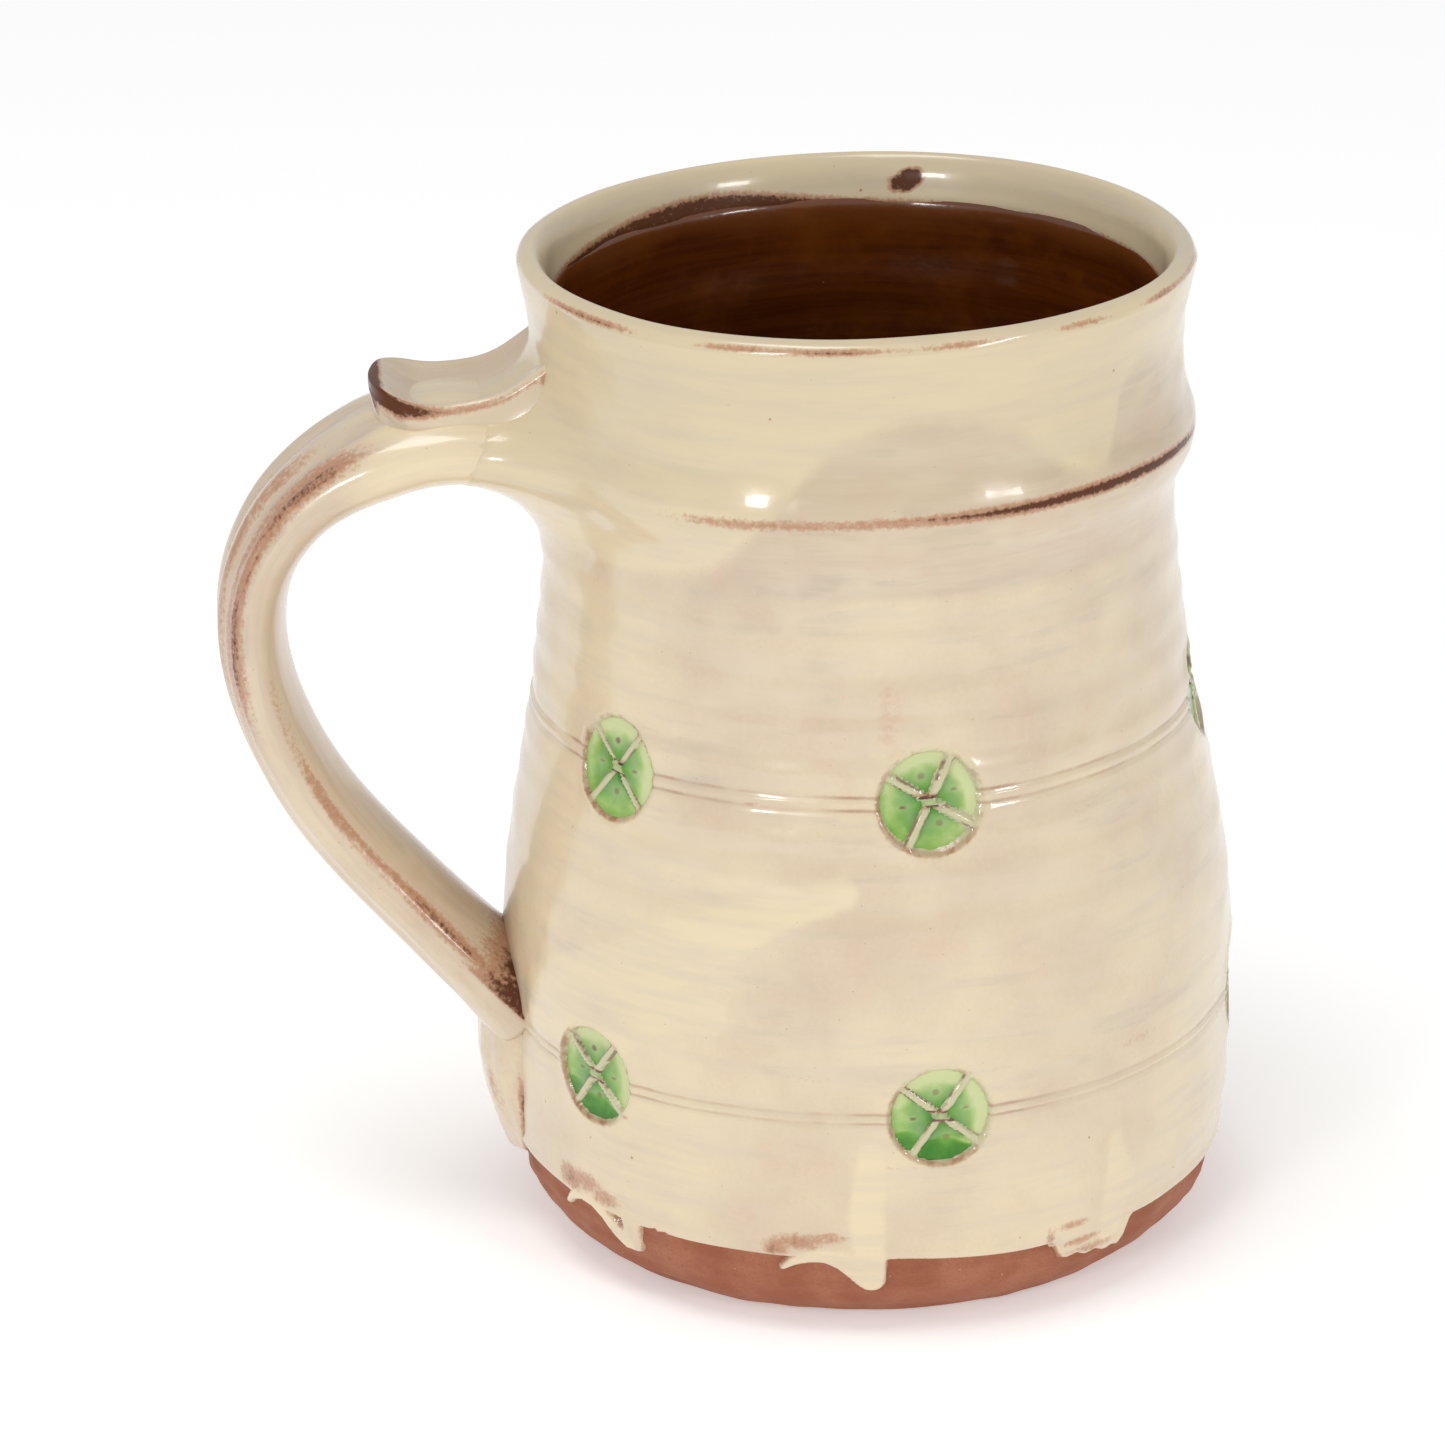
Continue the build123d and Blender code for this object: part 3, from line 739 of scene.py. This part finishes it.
def stamp_coordinates(azimuth, height):
    """Millimetres across and up from the nearest stamp, turned with it, and 1 near it or 0 away."""
    found = np.zeros((*azimuth.shape, 3))
    for _, _, centre, line, turn in stamp_places():
        across, up = stamp_offset(azimuth, height, centre, line)
        near = (np.abs(across) < 15.0) & (np.abs(up) < 15.0)
        a, shown = radians(-turn), smoothstep(12.5, 9.5, np.hypot(across, up))
        turned = np.stack([across * cos(a) - up * sin(a), across * sin(a) + up * cos(a), shown], axis=-1)
        found[near] = turned[near]
    return found


def worn_edges(azimuth, height, inside, edge_depth):
    """Where the glaze runs thin over an edge and the red clay shows."""
    crest = 106.7 + 0.5 * np.sin(np.radians(2 * azimuth + 30.0))
    along = 0.70 + 0.22 * ripple(azimuth, 0.0, 40.0, 23)
    front = 0.30 + 0.95 * smoothstep(68.0, 44.0, np.abs(turn_gap(azimuth, 22.0)))
    worn = 1.08 * bump(height, crest, 0.85) * along * front
    dashes = np.clip(0.62 + 0.5 * ripple(azimuth, 0.0, 16.0, 29), 0.0, 1.0)
    rim = 0.92 * bump(height, 128.8, 0.45) * (inside < 0.3) * dashes
    worn = np.maximum(worn, rim)
    worn = np.maximum(worn, 0.75 * bump(edge_depth, -0.1, 0.5))
    for centre, line, across, up, share in SMEARS:
        reach = np.hypot(around(azimuth, centre) / across, (height - line) / up)
        worn = np.maximum(worn, share * smoothstep(1.5, 0.1, reach) * smoothstep(0.1, 0.8, edge_depth))
    neck = bump(height, 117.6, 0.35) * smoothstep(10.0, 4.0, np.abs(turn_gap(azimuth, 52.0)))
    worn = np.maximum(worn, 0.45 * neck)
    stain = 2.6 * bump(turn_gap(azimuth, -152.0), 0.0, 26.0) + 0.30 * ripple(azimuth, 0.0, 30.0, 37)
    lip = smoothstep(124.9, 122.8, height - stain) * (inside > 0.3)
    side = around(azimuth, 164.0)
    splash = np.hypot(side / 3.2, (height - 126.6 + 0.22 * side) / 1.8)
    worn = np.maximum(worn, 1.15 * smoothstep(1.15, 0.6, splash) * (inside > 0.3))
    return np.maximum(worn, 1.1 * lip)


# ---- clay and lining
def clay_wall():
    """The thrown clay: bare foot and base, and the wall under both skins, as one closed mesh."""
    under = 0.8                     # below the surface of the slip and of the lining
    base = np.stack([np.linspace(1.0, FOOT_RADIUS - 2.5, 26), np.full(26, 0.7)], axis=-1)
    base[-6:, 1] = np.linspace(0.7, 0.0, 6)
    foot = cubic_through(FOOT, np.linspace(0.0, 1.0, 44))
    heights = np.linspace(19.0, 126.5, 60)
    outer = np.stack([wall_radius(heights) - under, heights], axis=-1)
    hollow = cubic_through(HOLLOW, np.linspace(0.0, 1.0, 60)) + (under, -0.4)
    profile = np.vstack([base, foot, outer, [(40.6, 128.4)], hollow, [(1.0, FLOOR_HEIGHT - 0.6)]])
    radius, height = profile[:, :1], profile[:, 1:]
    angle = repeated(EVEN_TURN, profile)
    low = smoothstep(22.0, 12.0, height) * (np.arange(len(profile))[:, None] < 70)
    rough = 0.16 * ripple(angle, height, 12.0, 41) + 0.10 * ripple(angle, height, 4.0, 42)
    radius = radius + rough * low * smoothstep(0.0, 1.0, height)
    radius = radius + 0.12 * np.sin(height * 2.4 + np.radians(angle)) * low * smoothstep(0.3, 1.5, height)
    floor = 0.10 * np.sin(radius * 1.5 + 0.3 * ripple(angle, radius, 20.0, 43))
    floor = floor * (height < 0.75) * (height > 0.3)
    points = round_the_mug(radius, angle, height + floor)
    grid_object("clay_wall", points, CLAY, "red_clay", ["clay_body"], caps=True)


def glaze_lining():
    """The brown glaze inside, with its throwing rings."""
    profile = cubic_through(HOLLOW, np.linspace(0.0, 1.0, 190))
    profile = np.vstack([[(38.9, 124.1)], profile, [(8.0, 6.15)], [(0.6, 6.3)]])
    angle = repeated(EVEN_TURN, profile)
    height, radius = profile[:, 1:], profile[:, :1]
    wave = 0.09 * np.sin(height * 0.8 + np.radians(angle)) * smoothstep(8.0, 20.0, height)
    wave = wave * smoothstep(123.0, 117.0, height)
    wave = wave + 0.10 * ripple(angle, height, 18.0, 51) * smoothstep(9.0, 20.0, height)
    spiral = 0.25 * np.sin(radius * 1.1 + np.radians(angle))
    spiral = spiral * smoothstep(9.0, 7.0, height) * smoothstep(2.0, 6.0, radius)
    top = smoothstep(119.5, 122.6, height + 0.5 * ripple(angle, 0.0, 24.0, 53)) * 0.7
    points = round_the_mug(radius + wave, angle, height + spiral)
    grid_object("glaze_lining", points, LINING, "brown_glaze", ["inner_glaze_lining"], values={"top": top})


# ---- green roundels
def roundel(row, number, azimuth, line, turn):
    """Four wedges of green glaze lying in one stamped pocket."""
    step = 0.2
    side = np.arange(-STAMP_RADIUS - 0.4, STAMP_RADIUS + 0.4 + step, step)
    across, up = np.meshgrid(side, side)
    inset = lobe_inset(across, up, turn)
    level = -POOL_SINK + 0.20 * np.exp(-np.clip(inset, 0, 9) / 0.5) - 0.5 * smoothstep(0.05, -0.35, inset)
    radius = wall_radius(line + up) + level
    points = round_the_mug(radius, azimuth + np.degrees(across / wall_radius(line)), line + up)
    index = np.arange(across.size).reshape(across.shape)
    middle = 0.25 * (inset[:-1, :-1] + inset[1:, :-1] + inset[:-1, 1:] + inset[1:, 1:])
    keep = middle > -0.22
    quads = np.stack([index[:-1, :-1], index[:-1, 1:], index[1:, 1:], index[1:, :-1]], axis=-1)[keep]
    used = np.unique(quads)
    place = np.full(across.size, -1)
    place[used] = np.arange(len(used))

    draw = np.random.default_rng(100 + 10 * number + len(row))
    tilt = draw.uniform(-0.5, 0.5)
    reach = np.hypot(across, up)
    high_side = up + 0.6 * across + 1.5 * tilt
    pool = 0.40 + 0.36 * smoothstep(5.4, 2.2, reach) - 0.022 * high_side + 0.12 * smoothstep(0.9, 0.1, inset)
    pool -= (0.14 + 0.40 * smoothstep(-4.0, 3.5, high_side)) * smoothstep(3.2, 6.5, reach)
    # glaze settled in the bottom of the lower row's stamps: the upper row's line is below the disc
    waterline = (-3.1 if row == "lower" else -9.0) + 0.25 * np.sin(1.3 * across)
    sunk = smoothstep(waterline + 0.3, waterline - 0.3, up + 0.25 * across)
    pool = np.maximum(pool, (0.86 - 0.05 * (up + 3.0)) * sunk)
    pip, mist = np.zeros_like(up), 0.8 * bump(reach, 3.0, 1.2) * smoothstep(waterline, waterline + 0.4, up)
    for quarter in range(4):
        a = radians(STAMP_RIB_ANGLES[0] + turn + 45.0 + 90.0 * quarter + draw.uniform(-6, 6))
        out = draw.uniform(2.9, 3.6)
        flat = 2.4 if abs(cos(a)) > 0.7 else 1.1
        gap = np.hypot(across - out * cos(a), (up - out * sin(a)) * flat)
        pip = np.maximum(pip, smoothstep(0.60, 0.30, gap) * draw.uniform(0.45, 0.95))
        pool -= 0.22 * bump(gap, 0.0, 1.0)
    values = {"pool": np.clip(pool, 0, 1), "pip": pip, "mist": mist}
    values = {label: np.ravel(data)[used] for label, data in values.items()}
    piece = mesh_object(
        f"roundel_{row}_{number}_glaze", points.reshape(-1, 3)[used], place[quads].tolist(),
        GREEN, [f"roundel_{row}_{number}"], values=values,
    )
    body = piece.modifiers.new("depth", "SOLIDIFY")
    body.thickness, body.offset = 0.3 * MM, -1.0


# ---- handle
def handle_point(reach, side, height):
    """Points of the handle: distance from the axis along -X, sideways along Y, and height."""
    reach, side, height = np.broadcast_arrays(reach, side, height)
    return np.stack([-reach, side, height], axis=-1)


def handle_piece(name, node, points, thick, worn, pink, flow, **shape):
    """A slipped piece of the handle, with the attributes that steer its material."""
    values, vectors = {"thick": thick, "worn": worn, "pink": pink}, {"flow": np.stack(flow, axis=-1)}
    grid_object(name, points, SLIP_PLAIN, "cream_slip", [node], values=values, vectors=vectors, **shape)


def superellipse(angle, power):
    """Unit superellipse as (across, out)."""
    c, s = np.cos(angle), np.sin(angle)
    return np.sign(c) * np.abs(c) ** (2 / power), np.sign(s) * np.abs(s) ** (2 / power)


def strap_sizes(share):
    """Width and thickness along the strap, with their changes softened."""
    stops = [row[0] for row in STRAP_SECTIONS]
    soften = np.hanning(13) / np.hanning(13).sum()
    for column in (1, 2):
        size = np.interp(share, stops, [row[column] for row in STRAP_SECTIONS])
        yield np.convolve(np.pad(size, 6, mode="edge"), soften, mode="valid")[:, None]


def strap_wear(along, across, out):
    """Brown where the slip is thin: bands along both edges, a crack, stained grooves and the lower joint."""
    swing = np.degrees(np.arctan2(out, -across))      # 0 on the near edge, 90 on the outer face
    upper = smoothstep(0.16, 0.25, along) * smoothstep(0.70, 0.50, along)
    lower = smoothstep(0.42, 0.58, along)
    outer_band = 0.98 * bump(swing, 40.0 - 14.0 * along, 17.0) * upper
    crack = 0.95 * bump(swing, 31.0 - 14.0 * along, 2.6)
    crack = crack * smoothstep(0.22, 0.26, along) * smoothstep(0.46, 0.36, along)
    inner_band = 0.86 * bump(swing, -24.0, 13.0) * lower
    far_band = 0.50 * bump(swing, 150.0, 12.0) * smoothstep(0.24, 0.36, along)
    groove_stain = 0.56 * np.maximum(bump(swing, 70.0, 8.0), 0.8 * bump(swing, 96.0, 6.0))
    groove_stain = groove_stain * smoothstep(0.20, 0.30, along) * smoothstep(0.7, 0.45, along)
    patch = np.clip(0.78 + 0.30 * np.sin(along * 23.0 + 0.6) * np.sin(along * 9.0), 0.0, 1.0)
    joint = 1.05 * smoothstep(0.86, 0.97, along) * (out < 0.0)
    tip_mark = 0.30 * bump(along, 0.27, 0.03) * bump(across, -0.1, 0.4) * (out > 0)
    bands = [outer_band * patch, crack, inner_band * patch, far_band * patch, groove_stain, joint, tip_mark]
    return np.maximum.reduce(bands), 0.5 * outer_band


def strap():
    """The pulled strap: wide at the neck, with long grooves down its outer face."""
    share = np.linspace(0.0, 1.0, 260)
    path = cubic_through(STRAP_PATH, share)
    tangent = np.gradient(path, axis=0)
    tangent /= np.linalg.norm(tangent, axis=1)[:, None]
    outward = np.stack([-tangent[:, 1], tangent[:, 0]], axis=-1)
    width, thickness = strap_sizes(share)
    across, out = superellipse(np.linspace(0.0, 2 * pi, 97)[None, :-1], STRAP_POWER)
    along = share[:, None]
    grooved = smoothstep(0.15, 0.28, along) * smoothstep(1.0, 0.84, along)
    groove = 0.40 * bump(across, 0.1, 0.45) * (out < 0)
    for place, depth, reach in STRAP_GROOVES:
        drift = place + 0.05 * np.sin(along * 7.0 + place * 9.0)
        groove = groove + depth * bump(across, drift, reach) * (out > 0)
    side = 0.5 * width * across + 0.35 * smoothstep(0.22, 0.40, along) * np.sin(along * 9.0 + 1.0)
    lift = 0.5 * thickness * out - groove * grooved * 1.1
    spot = path[:, None, :] + lift[:, :, None] * outward[:, None, :]
    points = handle_point(spot[:, :, 0], side, spot[:, :, 1])
    worn, pink = strap_wear(along, across, out)
    thick = -0.7 + 2.4 * smoothstep(0.30, 0.14, along) - 5.0 * groove * (out > 0) * grooved
    thick = thick - 2.4 * (out < 0) * smoothstep(0.2, 0.5, along)
    flow = along * 4.5 * np.ones_like(across), side * 0.50, lift * 0.5
    handle_piece("strap", "handle_strap", points, thick, worn, pink, flow, caps=True)


def thumb_pad():
    """The hollowed tongue on top of the strap: a dished top, a rolled brown lip and sloping sides."""
    share = np.linspace(0.0, 1.0, 120)
    reach = PAD_ROOT_REACH + share * (PAD_TIP_REACH - PAD_ROOT_REACH)
    edge = cubic_values([a for a, _ in PAD_EDGE], [h for _, h in PAD_EDGE], share)
    round_tip = np.clip(1 - np.clip((share - 0.70) / 0.302, 0, 1) ** 2.4, 0.0, 1.0) ** 0.5
    half = (9.8 - 0.7 * bump(share, 0.45, 0.25)) * np.maximum(round_tip, 0.03)
    foot = np.interp(share, [0.0, 0.5, 0.86, 0.97, 1.0], [106.0, 106.0, 106.5, 110.4, 113.6])
    spread = np.interp(share, [0.0, 0.3, 0.7, 1.0], [7.0, 4.2, 1.6, 0.0])

    top = np.linspace(-1.0, 1.0, 61)[None, :]
    hollowed = (smoothstep(-0.05, 0.3, share) * smoothstep(1.0, 0.72, share))[:, None]
    dish = 2.1 * (1 - top**2) ** 1.2 * hollowed
    lip = 0.55 * bump(share, 0.95, 0.06)[:, None] * (1 - 0.4 * top**2)
    roll = -0.9 * smoothstep(0.90, 1.0, np.abs(top)) ** 2 + lip
    top_side, top_height = half[:, None] * top, edge[:, None] - dish + roll
    down = np.linspace(0.0, 1.0, 26)[1:][None, :]
    bulge = 0.45 * np.sin(pi * np.clip(down / 0.4, 0, 1)) * smoothstep(0.2, 0.6, share)[:, None]
    skirt_side = half[:, None] + bulge + spread[:, None] * down**2
    skirt_height = (edge - 0.9)[:, None] + (foot - edge + 0.9)[:, None] * down
    side = np.hstack([top_side, skirt_side, -skirt_side[:, ::-1]])
    height = np.hstack([top_height, skirt_height, skirt_height[:, ::-1]])
    points = handle_point(reach[:, None], side, height)

    tip = smoothstep(0.55, 0.92, share)[:, None]
    top_worn = smoothstep(0.92 - 0.06 * tip, 0.99, np.abs(top)) * (0.50 + 0.9 * tip)
    top_worn = top_worn + 1.3 * smoothstep(0.90, 0.965, share)[:, None]
    skirt_worn = smoothstep(0.15 + 0.22 * tip, 0.02, down) * (0.62 + 0.75 * tip)
    under_tip = 1.1 * smoothstep(0.93, 0.98, share)[:, None] * smoothstep(0.8, 0.5, down)
    notch = 0.9 * bump(share, 0.07, 0.03)[:, None] * smoothstep(0.25, 0.05, down)
    skirt_worn = np.maximum.reduce([skirt_worn, under_tip, notch])
    worn = np.hstack([top_worn, skirt_worn, skirt_worn[:, ::-1]])
    thick, pink = np.full_like(worn, -0.6), np.zeros_like(worn)
    flow = points[..., 0] * 0.05, side * 0.4, height * 0.2
    handle_piece("thumb_pad", "thumb_rest", points, thick, worn, pink, flow, caps=True)


def tail():
    """The strap's lower end, pressed flat on the wall and drawn down to a point."""
    down = np.linspace(0.0, 1.0, 110)[:, None]
    cross = np.linspace(-1.0, 1.0, 61)[None, :]
    height = TAIL_TOP + (TAIL_TIP - TAIL_TOP) * down * np.ones_like(cross)
    half = 11.6 * np.clip(1 - np.clip((down - 0.45) / 0.56, 0, 1) ** 2.0, 0.0, 1.0) ** 0.62
    proud = np.interp(down[:, 0], [0.0, 0.35, 0.6, 0.8, 0.95, 1.0], [3.4, 3.7, 3.0, 2.1, 1.3, 0.4])[:, None]
    shape = (1 - np.abs(cross) ** 2.6) ** 0.75
    fold = 0.35 * bump(cross, -0.45, 0.16) - 0.35 * bump(cross, -0.15, 0.14) + 0.3 * bump(cross, 0.4, 0.2)
    level = -0.45 + (proud + 0.45) * shape + fold * shape * smoothstep(0.1, 0.5, down)
    level += 0.10 * ripple(cross * 60.0, height, 14.0, 61)
    radius = wall_radius(height) + level
    angle = ROOT_AZIMUTH + np.degrees(cross * half / 47.0)
    points = round_the_mug(radius, angle, height)
    edge = smoothstep(0.86, 0.98, np.abs(cross)) * smoothstep(0.25, 0.6, down)
    worn = np.maximum(0.85 * edge, 0.9 * smoothstep(0.93, 1.0, down))
    worn = np.maximum(worn, 0.45 * bump(cross, 0.55, 0.22) * bump(down, 0.55, 0.2))
    thick, pink = np.zeros_like(worn), 0.35 + 0.35 * worn
    flow = height * 0.05, cross * half * 0.5, level * 0.3
    handle_piece("pressed_tail", "handle_tail", points, thick, worn, pink, flow, closed_rows=False)


# ---- stage, light and camera
def studio():
    """A plain pale floor, a white surround and soft lights."""
    mesh = bpy.data.meshes.new("floor")
    span = 3.0
    corners = [(-span, -span, 0), (span, -span, 0), (span, span, 0), (-span, span, 0)]
    mesh.from_pydata(corners, [], [(0, 1, 2, 3)])
    floor = add_object("floor", mesh)
    paint = Shader("floor_paint")
    paint.set("Base Color", (0.9, 0.9, 0.9))
    paint.set("Roughness", 0.9)
    paint.set("Specular IOR Level", 0.1)
    paint.set("Emission Color", (1.0, 1.0, 1.0))
    paint.set("Emission Strength", 0.32)
    mesh.materials.append(paint.material)

    world = bpy.data.worlds.new("surround")
    world.use_nodes = True
    background = world.node_tree.nodes["Background"].inputs
    background["Color"].default_value = (1.0, 1.0, 1.0, 1.0)
    background["Strength"].default_value = 0.55
    bpy.context.scene.world = world
    bpy.context.scene.view_settings.view_transform = "Standard"

    aim = Vector((0.0, 0.0, 0.075))
    for name, spot, size, power in (
        ("left_box", (-0.66, -0.92, 0.46), (0.20, 0.16), 2.1),
        ("right_box", (0.80, -0.90, 0.44), (0.30, 0.16), 2.4),
        ("top_box", (-0.25, -0.20, 1.25), (0.60, 0.40), 3.9),
    ):
        data = bpy.data.lights.new(name, "AREA")
        data.shape, data.size, data.size_y, data.energy = "RECTANGLE", size[0], size[1], power
        lamp = add_object(name, data)
        lamp.location = spot
        lamp.rotation_mode = "QUATERNION"
        lamp.rotation_quaternion = (aim - Vector(spot)).to_track_quat("-Z", "Y")


def camera():
    """The camera, a little above the rim and 6 degrees round from the front, through a long lens."""
    turn, back, height = radians(-6.0), 0.750, 0.3604
    pitch, yaw, roll = radians(21.483), radians(-1.375) - turn, radians(-1.275)
    forward = Vector((sin(yaw) * cos(pitch), cos(yaw) * cos(pitch), -sin(pitch)))
    level = Vector((cos(yaw), -sin(yaw), 0.0))
    rise = level.cross(forward)
    right = cos(roll) * level + sin(roll) * rise
    up = -sin(roll) * level + cos(roll) * rise
    data = bpy.data.cameras.new("camera")
    data.lens, data.sensor_width, data.clip_start = 156.2, 36.0, 0.02
    eye = add_object("camera", data)
    axes = Matrix((right, up, -forward)).transposed().to_4x4()
    eye.matrix_world = Matrix.Translation((back * sin(turn), -back * cos(turn), height)) @ axes
    bpy.context.scene.camera = eye


slip_coat()
clay_wall()
glaze_lining()
for place in stamp_places():
    roundel(*place)
strap()
thumb_pad()
tail()
studio()
camera()

bpy.context.view_layer.update()
